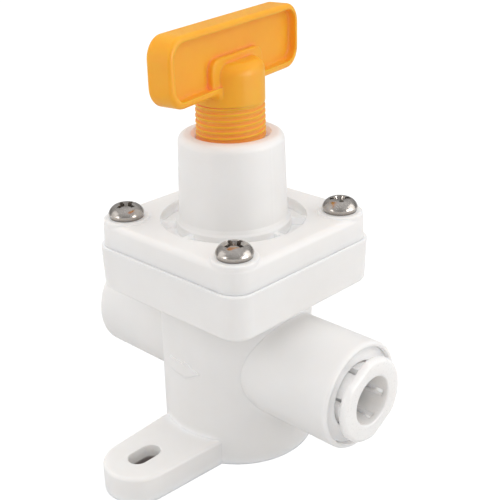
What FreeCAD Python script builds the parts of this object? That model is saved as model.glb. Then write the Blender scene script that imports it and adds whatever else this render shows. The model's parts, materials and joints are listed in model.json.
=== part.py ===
"""Small moulded-plastic diaphragm pressure regulator with push-fit tube ports.

Frame: origin on the barrel axis in the plane of the base, +Z up along the adjusting screw,
+X the way the water flows, and a foot tab toward -Y and +Y. Units are millimetres and degrees.
"""
import FreeCAD
import Part
import math
import os

V = FreeCAD.Vector

# ---- driving dimensions -------------------------------------------------------------------
TUBE_D = 9.525                 # 3/8 inch tube that both ports take
TUBE_PLAY = 0.0875             # running clearance round the tube
TUBE_POCKET_R = TUBE_D / 2 + TUBE_PLAY
FIT_GAP = 0.04                 # gap left between parts that touch in reality
SLIP_GAP = 0.05                # gap all round a part that is pushed into a bore
OVERSHOOT = 1.0                # how far cutters reach past the faces they open

PORT_Z = 20.0                  # height of the two ports' common axis
PORT_R = 10.7
PORT_END = 32.3                # half the length over the port mouths
PORT_RIM_FILLET = 0.7
BARREL_R = 15.5
BARREL_BASE_R = 15.6

PARTING_Z = 43.0               # where bonnet and body meet
FLANGE_HALF = 19.95
FLANGE_BOTTOM_HALF = 19.7
FLANGE_CORNER_R = 4.2
FLANGE_BOTTOM_Z = 33.8
FLANGE_EDGE_FILLET = 0.9       # under the flange; the parting edge is nearly sharp
PARTING_EDGE_FILLET = 0.25
BONNET_HALF = 19.5
BONNET_TOP_HALF = 19.4
BONNET_CORNER_R = 4.4
BONNET_TOP_Z = 48.2
BONNET_EDGE_FILLET = 1.2

SCREW_PITCH_HALF = 14.85       # half the side of the square that the four screws stand on
SCREW_R = 1.75
SCREW_CORE_R = 1.3
SCREW_LEAD = 1.34
SCREW_HEAD_R = 3.5
SCREW_HEAD_H = 2.6
SCREW_HEAD_RIM_H = 0.9         # height at which the head is widest
SCREW_SHANK_SUNK = 0.2         # how far the shank reaches into the head
SCREW_TIP_R = 0.15
SCREW_TIP_LENGTH = 1.6
SCREW_TIP_Z = 36.6
RECESS_DEPTH = 2.2             # cross recess in the screw heads
RECESS_REACH = 2.2
RECESS_FLOOR_REACH = 1.0
RECESS_WING = 0.48
RECESS_CORE_R = 1.25           # round middle of the cross, at the top and at the floor
RECESS_CORE_FLOOR_R = 0.5
PAD_R = 4.5
PAD_TOP_Z = 48.55
PAD_EDGE_FILLET = 0.3

TOWER_TOP_Z = 65.2
TOWER_TOP_R = 10.18
TOWER_BASE_R = 10.73
TOWER_RIM_FILLET = 1.4
TOWER_MOUTH_R = 7.66
COLLAR_R = 11.3
COLLAR_TOP_Z = 47.9
MOAT_R = 14.4
MOAT_FLOOR_Z = 45.9
RIB_COUNT = 8
RIB_TOP_Z = 47.4
RIB_WIDTH = 1.1

THREAD_PITCH = 1.1             # adjusting screw, right-hand
THREAD_CREST_R = 6.85
THREAD_ROOT_R = 6.25
THREAD_CREST_FLAT = 0.34
THREAD_ROOT_WIDTH = 0.92
THREAD_GAP = 0.1               # clearance between the external and the internal thread
THREAD_SUNK = 0.1              # how deep a ridge is sunk in its core
THREAD_TOP_Z = 72.0
SCREW_END_Z = 57.0             # lower end of the hollow adjusting screw
NUT_BOTTOM_Z = 59.5
NUT_TOP_Z = 64.3
SPRING_ROOM_R = 8.4
ROLL_ROOM_HEIGHT = 2.2         # room above the parting plane for the diaphragm's roll

BAR_ANGLE = 101.0              # direction of the T-bar at rest, from +X
BAR_HALF = 21.25
BAR_THICK = 5.3
BAR_BOTTOM_Z = 74.05
BAR_TOP_Z = 86.65
BAR_CORNER_R = 4.0
BAR_EDGE_FILLET = 0.8
BAR_SKIRT = 2.2                # radius of the flare from the neck into the bar
PANEL_DEPTH = 1.7
PANEL_RIM = 1.1                # width of the rim round the panel, and below it
PANEL_LOW_RIM = 1.3
PANEL_FLOOR_FILLET = 0.5
NECK_R = 6.65
NECK_TOP_Z = 79.3
NECK_TOP_FILLET = 2.2
BOSS_HALF = 8.4                # raised pad on the web that the neck grows out of
BOSS_PROUD = 2.2               # from the middle of the bar to the pad's face
BOSS_TOP_Z = 80.5
BOSS_CORNER_R = 2.2
BOSS_EDGE_FILLET = 0.4

TAB_END_Y = 35.2
TAB_END_R = 7.0
TAB_ROOT_Y = 12.5
TAB_ROOT_HALF = 8.9
TAB_THICK = 5.6
TAB_EDGE_FILLET = 0.7
SLOT_Y = 26.8
SLOT_LENGTH = 7.2
SLOT_WIDTH = 4.2

ARROW_TIP_X = 4.2
ARROW_NECK_X = 0.5
ARROW_TAIL_X = -4.0
ARROW_HALF = 1.95
ARROW_SHAFT_HALF = 1.35
ARROW_PROUD = 0.3

# Inside of the body
SEAT_BORE_R = 6.3
SEAT_SHELF_Z = 24.0
POPPET_BORE_R = 5.8
POPPET_FLOOR_Z = 6.0
CHAMBER_R = 11.0
CHAMBER_FLOOR_Z = 38.5
PASSAGE_R = 3.4
RISER_R = 1.8
RISER_X = 9.7
UNDERSIDE_RIBS = 6
UNDERSIDE_RIB_WIDTH = 1.6
UNDERSIDE_INNER_R = 8.0
UNDERSIDE_OUTER_R = 13.4
UNDERSIDE_DEPTH = 7.0

# Push-fit port, measured outward from the valve's centre along the port axis
TUBE_STOP = 14.5
ORING_POCKET = 18.6
ORING_POCKET_R = 7.25
PORT_ORING_R = 6.04            # centre line of the O-ring, and its section
PORT_ORING_SECTION_R = 1.17
PORT_ORING_PLACE = 19.8
SPACER_END = 21.9
CARTRIDGE_POCKET = 21.05
CARTRIDGE_POCKET_R = 9.25
PORT_RECESS_R = 9.7
PORT_RECESS = 30.8
CARTRIDGE_FACE = 31.5
CARTRIDGE_BORE_R = 6.6
CARTRIDGE_CONE_R = 7.9
CARTRIDGE_BACK = 21.95
CARTRIDGE_CONE_START = 25.0
CARTRIDGE_CONE_END = 27.4
COLLET_FACE = 35.2
COLLET_FLANGE_R = 8.4
COLLET_FLANGE_BACK = 33.85
COLLET_FLAT_HALF = 7.8
COLLET_FLAT_BLEND = 2.5
COLLET_FLAT_ANGLE = -61.0      # direction of one flat's normal, from +Y toward +Z
COLLET_NECK_R = 6.3
COLLET_HEAD_R = 7.4
COLLET_RIM_FILLET = 0.9
COLLET_MOUTH_FILLET = 0.3
COLLET_TIP = 23.4
COLLET_TIP_CHAMFER = 0.6
COLLET_HEAD_END = 25.7
COLLET_NECK_START = 27.7
COLLET_SLOTS = 6
COLLET_SLOT_WIDTH = 1.3
COLLET_SLOT_ANGLE = 48.0
TOOTH_PLACE = 24.9
TOOTH_THICK = 0.35
TOOTH_HALF_WIDTH = 0.95
TOOTH_TOP_R = 6.6
TOOTH_TILT = 20.0
TOOTH_CLEARANCE = 0.02         # gap between a blade's edge and the tube's bore
TOOTH_POCKET_GAP = 0.03

# Diaphragm and what it carries
RUBBER = 0.7
DIAPHRAGM_TOP_Z = PARTING_Z + 0.45
BEAD_INNER_R = 12.2
BEAD_OUTER_R = 13.4
BEAD_BOTTOM_Z = 41.9
ROLL_R = 9.6
ROLL_MID = 1.25
PLATE_R = 7.6
PLATE_THICK = 1.5
PLATE_COLLAR_H = 0.9
PUSHER_R = 7.2
PUSHER_THICK = 1.4
PUSHER_CONE_R = 2.4
PUSHER_CONE_H = 1.6
STUD_R = 1.45
STUD_PROUD = 0.6               # how far the stud stands out of its nut
NUT_FLATS = 5.5
NUT_THICK = 2.0
STEM_R = 1.25

# Seat and poppet
SEAT_TOP_Z = 33.0
SEAT_LIP_INNER_R = 2.6
SEAT_LIP_OUTER_R = 3.1
SEAT_LIP_HEIGHT = 0.7
SEAT_CUP_R = 3.6
SEAT_WEB_THICK = 2.0           # the web that guides the push stem
SEAT_HOLES = 4
SEAT_HOLE_R = 0.75
SEAT_ORING_Z = 28.05
SEAT_ORING_R = 5.51
SEAT_ORING_SECTION_R = 0.73
SEAT_GROOVE_R = 4.75
SEAT_GROOVE_HALF = 0.85
POPPET_SINK = 0.45             # top of the poppet's stem below the seat shelf
POPPET_HEAD_R = 4.4
POPPET_HEAD_LOW_Z = 20.6
POPPET_HEAD_TOP_Z = 23.2
POPPET_CUP_R = 4.05
POPPET_CUP_Z = 22.3
POPPET_CORE_R = 1.2
POPPET_SPIGOT_R = 1.8
POPPET_SPIGOT_Z = 9.2
POPPET_FINS = 3
POPPET_FIN_INNER_R = 4.2
POPPET_FIN_LOW_Z = 16.2
POPPET_FIN_TOP_Z = 23.0
POPPET_FIN_HALF = 0.5

# Springs, and the button that the range spring pushes on
SPRING_WIRE = 1.2
SPRING_MEAN_R = 4.1
SPRING_TURNS = 9.5
SCREW_BORE_R = 4.9
SCREW_BORE_TOP_Z = 71.5
BUTTON_THICK = 1.9
BUTTON_SPIGOT_H = 1.6
BUTTON_NUB_R = 1.2
BUTTON_NUB_H = 0.3
POPPET_SPRING_WIRE = 0.5
POPPET_SPRING_MEAN_R = 2.9
POPPET_SPRING_TURNS = 8.0


# ---- helpers --------------------------------------------------------------------------------
def turned(points):
    """Solid of revolution about Z from (radius, z) corners."""
    corners = [V(r, 0, z) for r, z in points]
    wire = Part.makePolygon(corners + corners[:1])
    return Part.Face(wire).revolve(V(0, 0, 0), V(0, 0, 1), 360)


def cylinder(radius, z_low, z_high, x=0.0, y=0.0):
    return Part.makeCylinder(radius, z_high - z_low, V(x, y, z_low))


def tube(inner_r, outer_r, z_low, z_high):
    return cylinder(outer_r, z_low, z_high).cut(cylinder(inner_r, z_low - OVERSHOOT, z_high + OVERSHOOT))


def block(x_low, x_high, y_low, y_high, z_low, z_high):
    return Part.makeBox(x_high - x_low, y_high - y_low, z_high - z_low, V(x_low, y_low, z_low))


def spun(shape, angle):
    return shape.rotated(V(0, 0, 0), V(0, 0, 1), angle)


def fused(shapes):
    return shapes[0].multiFuse(shapes[1:]).removeSplitter()


def rounded_square(half, corner_r, z):
    """Closed wire of a square with round corners, centred on the Z axis."""
    flat = half - corner_r
    diagonal = corner_r / math.sqrt(2)
    edges = []
    for quarter in range(4):
        start = V(half, -flat, z)
        end = V(half, flat, z)
        middle = V(flat + diagonal, flat + diagonal, z)
        after = V(flat, half, z)
        side = [Part.makeLine(start, end), Part.Arc(end, middle, after).toShape()]
        edges += [spun(edge, 90 * quarter) for edge in side]
    return Part.Wire(edges)


def square_block(half_low, half_high, corner_r, z_low, z_high):
    """Square block with round corners and draft on its sides."""
    low = rounded_square(half_low, corner_r, z_low)
    high = rounded_square(half_high, corner_r, z_high)
    return Part.makeLoft([low, high], True, True)


def edges_at_height(shape, z, min_reach):
    """Edges that lie flat at height z and stay outside a cylinder of radius min_reach."""
    found = []
    for edge in shape.Edges:
        box = edge.BoundBox
        level = abs(box.ZMin - z) < 0.01 and abs(box.ZMax - z) < 0.01
        if level and all(math.hypot(v.X, v.Y) > min_reach for v in edge.Vertexes):
            found.append(edge)
    return found


def along_port(shape, side):
    """Lay a shape modelled along +Z onto the port axis of side +1 (outlet) or -1 (inlet)."""
    laid = shape.rotated(V(0, 0, 0), V(0, 1, 0), 90)
    if side < 0:
        laid = laid.rotated(V(0, 0, 0), V(0, 0, 1), 180)
    return laid.translated(V(0, 0, PORT_Z))


def helical_ridge(inner_r, outer_r, inner_width, outer_width, lead, z_low, z_high):
    """Trapezoid ridge wound right-handed about Z, from z_low to z_high along its middle."""
    path = Part.Wire(Part.makeLongHelix(lead, z_high - z_low, inner_r).Edges)
    corners = [V(inner_r, 0, -inner_width / 2), V(outer_r, 0, -outer_width / 2),
               V(outer_r, 0, outer_width / 2), V(inner_r, 0, inner_width / 2)]
    profile = Part.makePolygon(corners + corners[:1])
    ridge = path.makePipeShell([profile], True, True)
    if ridge.Volume < 0:
        ridge.reverse()
    return ridge.translated(V(0, 0, z_low))


def coil_spring(mean_r, wire_d, turns, z_low, z_high):
    """Compression spring with one closed turn and a ground face at each end."""
    steps_per_turn = 16
    closed_rise = 1.04 * wire_d
    active_rise = (z_high - z_low - 2 * closed_rise) / (turns - 2)
    points = []
    for step in range(int(turns * steps_per_turn) + 1):
        turn = step / steps_per_turn
        lower = min(turn, 1.0)
        active = min(max(turn - 1.0, 0.0), turns - 2)
        upper = max(turn - (turns - 1), 0.0)
        z = z_low + closed_rise * (lower + upper) + active_rise * active
        angle = 2 * math.pi * turn
        points.append(V(mean_r * math.cos(angle), mean_r * math.sin(angle), z))
    curve = Part.BSplineCurve()
    curve.interpolate(points)
    path = Part.Wire(curve.toShape())
    ring = Part.Wire(Part.makeCircle(wire_d / 2, points[0], points[1] - points[0]))
    coil = path.makePipeShell([ring], True, True)
    reach = mean_r + wire_d
    return coil.common(block(-reach, reach, -reach, reach, z_low, z_high))


def o_ring(ring_r, section_r, z):
    return Part.makeTorus(ring_r, section_r, V(0, 0, z))


# ---- valve body -----------------------------------------------------------------------------
def foot_tab(side):
    """Flat lug beside the base, narrowing to a round end, with a slot along its length."""
    end_y = TAB_END_Y - TAB_END_R
    reach = end_y - TAB_ROOT_Y
    lean = math.atan2(TAB_ROOT_HALF - TAB_END_R, reach)
    touch_x = TAB_END_R * math.cos(lean)
    touch_y = end_y + TAB_END_R * math.sin(lean)
    right_root = V(TAB_ROOT_HALF, 0, 0)
    right_touch = V(touch_x, touch_y, 0)
    tip = V(0, TAB_END_Y, 0)
    left_touch = V(-touch_x, touch_y, 0)
    left_root = V(-TAB_ROOT_HALF, 0, 0)
    outline = Part.Wire([Part.makeLine(left_root, right_root), Part.makeLine(right_root, right_touch),
                         Part.Arc(right_touch, tip, left_touch).toShape(),
                         Part.makeLine(left_touch, left_root)])
    lug = Part.Face(outline).extrude(V(0, 0, TAB_THICK))
    lug = lug.makeFillet(TAB_EDGE_FILLET, edges_at_height(lug, TAB_THICK, TAB_ROOT_HALF + 1))
    half_run = (SLOT_LENGTH - SLOT_WIDTH) / 2
    half_width = SLOT_WIDTH / 2
    low = -OVERSHOOT
    high = TAB_THICK + OVERSHOOT
    slot = block(-half_width, half_width, SLOT_Y - half_run, SLOT_Y + half_run, low, high)
    for end in (SLOT_Y - half_run, SLOT_Y + half_run):
        slot = slot.fuse(cylinder(half_width, low, high, 0, end))
    lug = lug.cut(slot.removeSplitter())
    return spun(lug, 180) if side < 0 else lug


def flow_arrow():
    """Raised arrow on the -Y side of the barrel, pointing along the flow."""
    corners = [(ARROW_TAIL_X, ARROW_SHAFT_HALF), (ARROW_NECK_X, ARROW_SHAFT_HALF),
               (ARROW_NECK_X, ARROW_HALF), (ARROW_TIP_X, 0), (ARROW_NECK_X, -ARROW_HALF),
               (ARROW_NECK_X, -ARROW_SHAFT_HALF), (ARROW_TAIL_X, -ARROW_SHAFT_HALF)]
    points = [V(x, -BARREL_R - OVERSHOOT, PORT_Z + z) for x, z in corners]
    plate = Part.Face(Part.makePolygon(points + points[:1])).extrude(V(0, BARREL_R / 2, 0))
    low = PORT_Z - ARROW_HALF - OVERSHOOT
    high = PORT_Z + ARROW_HALF + OVERSHOOT
    return plate.common(tube(BARREL_R - 1, BARREL_R + ARROW_PROUD, low, high))


def underside_pockets():
    """Ring of pockets moulded into the base, with radial ribs left between them."""
    ring = tube(UNDERSIDE_INNER_R, UNDERSIDE_OUTER_R, -OVERSHOOT, UNDERSIDE_DEPTH)
    half = UNDERSIDE_RIB_WIDTH / 2
    for index in range(UNDERSIDE_RIBS):
        rib = block(0, UNDERSIDE_OUTER_R + 1, -half, half, -2 * OVERSHOOT, UNDERSIDE_DEPTH + OVERSHOOT)
        ring = ring.cut(spun(rib, index * 360 / UNDERSIDE_RIBS))
    return ring


def port_bore():
    """Everything bored out of one port, from the tube stop to the mouth."""
    return turned([(0, TUBE_STOP), (TUBE_POCKET_R, TUBE_STOP), (TUBE_POCKET_R, ORING_POCKET),
                   (ORING_POCKET_R, ORING_POCKET), (ORING_POCKET_R, CARTRIDGE_POCKET),
                   (CARTRIDGE_POCKET_R, CARTRIDGE_POCKET), (CARTRIDGE_POCKET_R, PORT_RECESS),
                   (PORT_RECESS_R, PORT_RECESS), (PORT_RECESS_R, PORT_END + OVERSHOOT),
                   (0, PORT_END + OVERSHOOT)])


def valve_body():
    barrel = turned([(0, 0), (BARREL_BASE_R, 0), (BARREL_R, PORT_Z),
                     (BARREL_R, FLANGE_BOTTOM_Z + 1), (0, FLANGE_BOTTOM_Z + 1)])
    flange = square_block(FLANGE_BOTTOM_HALF, FLANGE_HALF, FLANGE_CORNER_R, FLANGE_BOTTOM_Z, PARTING_Z)
    flange = flange.makeFillet(FLANGE_EDGE_FILLET, edges_at_height(flange, FLANGE_BOTTOM_Z, 5))
    flange = flange.makeFillet(PARTING_EDGE_FILLET, edges_at_height(flange, PARTING_Z, 5))
    port = cylinder(PORT_R, 0, PORT_END)
    port = port.makeFillet(PORT_RIM_FILLET, edges_at_height(port, PORT_END, 5))
    shapes = [barrel, flange, along_port(port, 1), along_port(port, -1), foot_tab(-1), foot_tab(1)]
    body = fused(shapes)

    clamp_z = DIAPHRAGM_TOP_Z - RUBBER - FIT_GAP
    groove_inner_r = BEAD_INNER_R - SLIP_GAP
    groove_outer_r = BEAD_OUTER_R + 2 * SLIP_GAP
    groove_z = BEAD_BOTTOM_Z - SLIP_GAP
    above = PARTING_Z + OVERSHOOT
    stack = turned([(0, POPPET_FLOOR_Z), (POPPET_BORE_R, POPPET_FLOOR_Z), (POPPET_BORE_R, SEAT_SHELF_Z),
                    (SEAT_BORE_R, SEAT_SHELF_Z), (SEAT_BORE_R, CHAMBER_FLOOR_Z),
                    (CHAMBER_R, CHAMBER_FLOOR_Z), (CHAMBER_R, clamp_z), (groove_inner_r, clamp_z),
                    (groove_inner_r, groove_z), (groove_outer_r, groove_z), (groove_outer_r, above),
                    (0, above)])
    inlet_passage = along_port(cylinder(PASSAGE_R, POPPET_BORE_R - 2, TUBE_STOP + OVERSHOOT), -1)
    outlet_start = RISER_X - RISER_R - 0.5
    outlet_passage = along_port(cylinder(PASSAGE_R, outlet_start, TUBE_STOP + OVERSHOOT), 1)
    riser = cylinder(RISER_R, PORT_Z, CHAMBER_FLOOR_Z + OVERSHOOT, RISER_X)
    cuts = [stack, inlet_passage, outlet_passage, riser, underside_pockets(),
            along_port(port_bore(), 1), along_port(port_bore(), -1)]
    for x, y in screw_places():
        cuts.append(cylinder(SCREW_R + FIT_GAP, SCREW_TIP_Z - SCREW_TIP_LENGTH, above, x, y))
    for cutter in cuts:
        body = body.cut(cutter)
    return body.fuse(flow_arrow()).removeSplitter()


# ---- bonnet and its screws ------------------------------------------------------------------
def screw_places():
    return [(sx * SCREW_PITCH_HALF, sy * SCREW_PITCH_HALF) for sx in (-1, 1) for sy in (-1, 1)]


def bonnet():
    plate = square_block(BONNET_HALF, BONNET_TOP_HALF, BONNET_CORNER_R, PARTING_Z, BONNET_TOP_Z)
    plate = plate.makeFillet(BONNET_EDGE_FILLET, edges_at_height(plate, BONNET_TOP_Z, 5))
    moat = tube(COLLAR_R, MOAT_R, MOAT_FLOOR_Z, BONNET_TOP_Z + OVERSHOOT)
    half = RIB_WIDTH / 2
    for index in range(RIB_COUNT):
        rib = block(COLLAR_R - 1, MOAT_R + 1, -half, half, MOAT_FLOOR_Z - OVERSHOOT, RIB_TOP_Z)
        moat = moat.cut(spun(rib, index * 360 / RIB_COUNT))
    above_collar = tube(TOWER_BASE_R - 1, COLLAR_R, COLLAR_TOP_Z, BONNET_TOP_Z + OVERSHOOT)
    plate = plate.cut(moat).cut(above_collar)

    tower = turned([(0, COLLAR_TOP_Z - 1), (TOWER_BASE_R, COLLAR_TOP_Z - 1), (TOWER_BASE_R, BONNET_TOP_Z),
                    (TOWER_TOP_R, TOWER_TOP_Z), (0, TOWER_TOP_Z)])
    tower = tower.makeFillet(TOWER_RIM_FILLET, edges_at_height(tower, TOWER_TOP_Z, 5))
    flare = turned([(0, COLLAR_TOP_Z - 0.5), (COLLAR_R, COLLAR_TOP_Z - 0.5), (COLLAR_R, COLLAR_TOP_Z),
                    (TOWER_BASE_R + 0.25, COLLAR_TOP_Z + 0.4), (TOWER_BASE_R - 0.1, COLLAR_TOP_Z + 1.3),
                    (0, COLLAR_TOP_Z + 1.3)])
    shapes = [plate, tower, flare]
    for x, y in screw_places():
        pad = cylinder(PAD_R, BONNET_TOP_Z - 1.4, PAD_TOP_Z, x, y)
        shapes.append(pad.makeFillet(PAD_EDGE_FILLET, edges_at_height(pad, PAD_TOP_Z, 1)))
    cover = fused(shapes)

    below = PARTING_Z - OVERSHOOT
    room_top = NUT_BOTTOM_Z - (SPRING_ROOM_R - THREAD_ROOT_R)
    nut_r = THREAD_ROOT_R + THREAD_GAP
    bead_r = BEAD_OUTER_R + 2 * SLIP_GAP
    clamp_z = DIAPHRAGM_TOP_Z + FIT_GAP
    roll_room_r = ROLL_R + ROLL_MID + RUBBER / 2 + 0.15
    roll_room_z = PARTING_Z + ROLL_ROOM_HEIGHT
    inside = turned([(0, below), (bead_r, below), (bead_r, clamp_z), (roll_room_r, clamp_z),
                     (roll_room_r, roll_room_z), (SPRING_ROOM_R, roll_room_z), (SPRING_ROOM_R, room_top),
                     (nut_r, NUT_BOTTOM_Z), (nut_r, NUT_TOP_Z), (THREAD_CREST_R + THREAD_GAP, NUT_TOP_Z),
                     (TOWER_MOUTH_R, TOWER_TOP_Z - 0.1), (TOWER_MOUTH_R, TOWER_TOP_Z + OVERSHOOT),
                     (0, TOWER_TOP_Z + OVERSHOOT)])
    cover = cover.cut(inside)
    for x, y in screw_places():
        cover = cover.cut(cylinder(SCREW_R + 0.2, below, PAD_TOP_Z + OVERSHOOT, x, y))
    return cover.cut(thread(THREAD_GAP, THREAD_TOP_Z))


def thread(gap, z_high):
    """The adjusting screw's ridge; a gap above zero gives the groove that it turns in."""
    widening = 1.6 * gap
    return helical_ridge(THREAD_ROOT_R - THREAD_SUNK, THREAD_CREST_R + gap, THREAD_ROOT_WIDTH + widening,
                         THREAD_CREST_FLAT + widening, THREAD_PITCH, SCREW_END_Z, z_high)


def cross_recess():
    """Tapered cross that a screwdriver fits, sunk from z = 0 downward."""
    def rectangle(reach, wing, z):
        corners = [V(-reach, -wing, z), V(reach, -wing, z), V(reach, wing, z), V(-reach, wing, z)]
        return Part.makePolygon(corners + corners[:1])

    cutters = [Part.makeCone(RECESS_CORE_FLOOR_R, RECESS_CORE_R, RECESS_DEPTH, V(0, 0, -RECESS_DEPTH))]
    top = rectangle(RECESS_REACH, RECESS_WING, 0.1)
    bottom = rectangle(RECESS_FLOOR_REACH, 0.7 * RECESS_WING, -RECESS_DEPTH)
    for angle in (0, 90):
        cutters.append(spun(Part.makeLoft([bottom, top], True), angle))
    return fused(cutters)


def pan_head_screw():
    """Self-tapping screw with its bearing face at z = 0 and its tip downward."""
    under_rim = V(SCREW_HEAD_R - 0.2, 0, 0)
    crown = V(0, 0, SCREW_HEAD_H)
    rim_low = V(SCREW_HEAD_R, 0, SCREW_HEAD_RIM_H)
    rim_mid = V(SCREW_HEAD_R * 0.86, 0, SCREW_HEAD_H * 0.68)
    flat_edge = V(SCREW_HEAD_R * 0.5, 0, SCREW_HEAD_H - 0.12)
    outline = Part.Wire([Part.makeLine(V(0, 0, 0), under_rim), Part.makeLine(under_rim, rim_low),
                         Part.Arc(rim_low, rim_mid, flat_edge).toShape(),
                         Part.makeLine(flat_edge, crown), Part.makeLine(crown, V(0, 0, 0))])
    head = Part.Face(outline).revolve(V(0, 0, 0), V(0, 0, 1), 360)
    head = head.cut(cross_recess().translated(V(0, 0, SCREW_HEAD_H)))
    tip = SCREW_TIP_Z - PAD_TOP_Z
    shank = turned([(0, SCREW_SHANK_SUNK), (SCREW_CORE_R, SCREW_SHANK_SUNK),
                    (SCREW_CORE_R, tip + SCREW_TIP_LENGTH), (SCREW_TIP_R, tip), (0, tip)])
    ridge = helical_ridge(SCREW_CORE_R - THREAD_SUNK, SCREW_R, 0.8, 0.2, SCREW_LEAD,
                          tip + SCREW_TIP_LENGTH + 1.0, -1.2)
    return head.fuse(shank).fuse(ridge).removeSplitter()


def bonnet_screws():
    """Four identical screws; each recess stopped at its own angle when it was tightened."""
    recess_angles = (4, 20, -4, 47)
    screw = pan_head_screw()
    placed = []
    for (x, y), angle in zip(screw_places(), recess_angles):
        placed.append(spun(screw, angle).translated(V(x, y, PAD_TOP_Z)))
    return Part.makeCompound(placed)


# ---- handle with the adjusting screw --------------------------------------------------------
def bar_outline():
    """Face outline of the T-bar in the XZ plane, its lower side flowing into the neck."""
    half = BAR_HALF
    r = BAR_CORNER_R
    d = r * (1 - 1 / math.sqrt(2))
    low = BAR_BOTTOM_Z
    high = BAR_TOP_Z
    skirt = BAR_SKIRT
    skirt_x = NECK_R + skirt - 0.5
    s = skirt * (1 - 1 / math.sqrt(2))
    right = [Part.Arc(V(skirt_x - skirt, 0, low - skirt), V(skirt_x - skirt + s, 0, low - s),
                      V(skirt_x, 0, low)).toShape(),
             Part.makeLine(V(skirt_x, 0, low), V(half - r, 0, low)),
             Part.Arc(V(half - r, 0, low), V(half - d, 0, low + d), V(half, 0, low + r)).toShape(),
             Part.makeLine(V(half, 0, low + r), V(half, 0, high - r)),
             Part.Arc(V(half, 0, high - r), V(half - d, 0, high - d), V(half - r, 0, high)).toShape()]
    left = [edge.mirror(V(0, 0, 0), V(1, 0, 0)) for edge in right]
    top = Part.makeLine(V(half - r, 0, high), V(-half + r, 0, high))
    bottom = Part.makeLine(V(skirt - skirt_x, 0, low - skirt), V(skirt_x - skirt, 0, low - skirt))
    return Part.Wire(Part.__sortEdges__(right + left + [top, bottom]))


def rounded_panel(half, low, high, corner_r, depth):
    """Recess cutter with round corners, sunk from the bar's face toward its middle."""
    floor_y = depth - BAR_THICK / 2
    slab = block(-half, half, -BAR_THICK / 2 - OVERSHOOT, floor_y, low, high)
    corners = [edge for edge in slab.Edges
               if edge.BoundBox.XLength < 0.01 and edge.BoundBox.ZLength < 0.01]
    slab = slab.makeFillet(corner_r, corners)
    floor = [edge for edge in slab.Edges
             if abs(edge.BoundBox.YMin - floor_y) < 0.01 and edge.BoundBox.YLength < 0.01]
    return slab.makeFillet(PANEL_FLOOR_FILLET, floor)


def neck_boss():
    """Raised pad with rounded upper corners on one face of the web, round the top of the neck."""
    low = BAR_BOTTOM_Z - BAR_SKIRT - OVERSHOOT
    slab = block(-BOSS_HALF, BOSS_HALF, -BOSS_PROUD, 0, low, BOSS_TOP_Z)
    corners = [edge for edge in slab.Edges
               if edge.BoundBox.YLength > 1 and edge.BoundBox.ZMin > BOSS_TOP_Z - 0.01]
    slab = slab.makeFillet(BOSS_CORNER_R, corners)
    rim = [edge for edge in slab.Edges
           if edge.BoundBox.YMax < 0.01 - BOSS_PROUD and edge.BoundBox.ZMax > low + 0.01]
    return slab.makeFillet(BOSS_EDGE_FILLET, rim)


def t_handle():
    outline = bar_outline()
    bar = Part.Face(outline).extrude(V(0, BAR_THICK, 0)).translated(V(0, -BAR_THICK / 2, 0))
    rim = [edge for edge in bar.Edges if edge.BoundBox.YLength < 0.01
           and edge.BoundBox.ZMax > BAR_BOTTOM_Z + 0.01]
    bar = bar.makeFillet(BAR_EDGE_FILLET, rim)
    panel = rounded_panel(BAR_HALF - PANEL_RIM, BAR_BOTTOM_Z + PANEL_LOW_RIM, BAR_TOP_Z - PANEL_RIM,
                          BAR_CORNER_R - PANEL_RIM, PANEL_DEPTH)
    recess = panel.cut(neck_boss())
    bar = bar.cut(recess).cut(spun(recess, 180))

    neck = cylinder(NECK_R, THREAD_TOP_Z - 0.5, NECK_TOP_Z)
    neck = neck.makeFillet(NECK_TOP_FILLET, edges_at_height(neck, NECK_TOP_Z, 1))
    chamfer = 0.3
    screw_top = THREAD_TOP_Z + 0.2
    screw = turned([(0, SCREW_END_Z), (THREAD_ROOT_R - chamfer, SCREW_END_Z),
                    (THREAD_ROOT_R, SCREW_END_Z + chamfer), (THREAD_ROOT_R, screw_top), (0, screw_top)])
    shoulder_low = THREAD_TOP_Z - 0.6
    shoulder_high = THREAD_TOP_Z + 0.8
    shoulder = turned([(0, shoulder_low), (THREAD_ROOT_R, shoulder_low), (NECK_R, THREAD_TOP_Z),
                       (NECK_R, shoulder_high), (0, shoulder_high)])
    grip = spun(fused([bar, neck, shoulder]), BAR_ANGLE)
    handle = grip.fuse(screw).fuse(thread(0, THREAD_TOP_Z + 0.1))
    hollow = cylinder(SCREW_BORE_R, SCREW_END_Z - OVERSHOOT, SCREW_BORE_TOP_Z)
    return handle.cut(hollow).removeSplitter()


# ---- range spring, diaphragm and what they carry --------------------------------------------
def plate_top_z():
    return DIAPHRAGM_TOP_Z + FIT_GAP / 2 + PLATE_THICK


def button_bottom_z():
    return SCREW_BORE_TOP_Z - FIT_GAP - BUTTON_THICK


def spring_button():
    """Seat on top of the spring, with a nub that the screw pushes on and a spigot below."""
    low = button_bottom_z()
    high = SCREW_BORE_TOP_Z - FIT_GAP
    rim_r = SCREW_BORE_R - 0.1
    rim_z = high - BUTTON_NUB_H
    spigot_r = SPRING_MEAN_R - SPRING_WIRE / 2 - 0.15
    spigot_z = low - BUTTON_SPIGOT_H
    chamfer = 0.4
    return turned([(0, spigot_z), (spigot_r - chamfer, spigot_z), (spigot_r, spigot_z + chamfer),
                   (spigot_r, low), (rim_r, low), (rim_r, rim_z - chamfer / 2), (rim_r - chamfer, rim_z),
                   (BUTTON_NUB_R + chamfer, rim_z), (BUTTON_NUB_R, high), (0, high)])


def range_spring():
    low = plate_top_z() + FIT_GAP / 2
    return coil_spring(SPRING_MEAN_R, SPRING_WIRE, SPRING_TURNS, low, button_bottom_z() - FIT_GAP / 2)


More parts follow.
